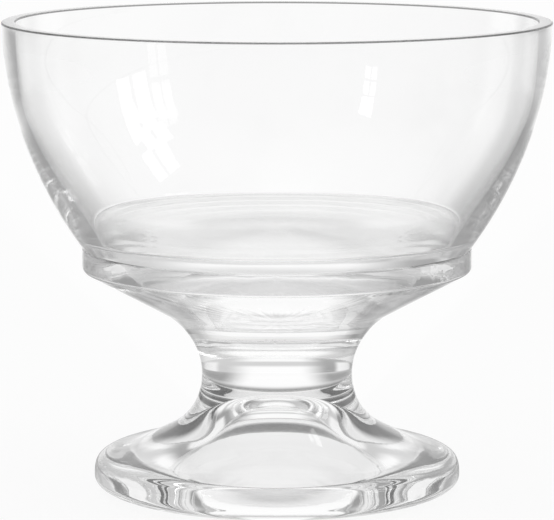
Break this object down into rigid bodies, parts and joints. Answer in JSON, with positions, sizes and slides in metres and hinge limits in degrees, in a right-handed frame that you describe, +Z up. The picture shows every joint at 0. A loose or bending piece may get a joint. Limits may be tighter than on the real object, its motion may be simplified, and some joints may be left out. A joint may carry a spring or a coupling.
{
  "type": "dessert glass",
  "caption": "Clear glass dessert bowl with a cut rim and flat floor, bonded to a turned glass pedestal with a collar, narrow waist and round hollow foot.",
  "frame": {"origin": "centre of the flat ring that the foot stands on", "axes": "+Z up the axis of the glass, towards the open rim"},
  "size_m": [0.11, 0.11, 0.095],
  "materials": {
    "bowl_glass": "clear, fire polished, colourless",
    "clear_bond": "clear cured resin, slightly hazy",
    "pedestal_glass": "clear pressed glass, polished, colourless"
  },
  "bodies": {
    "root": {"bowl": "bowl_glass", "bond_film": "clear_bond", "pedestal": "pedestal_glass"}
  },
  "joints": []
}
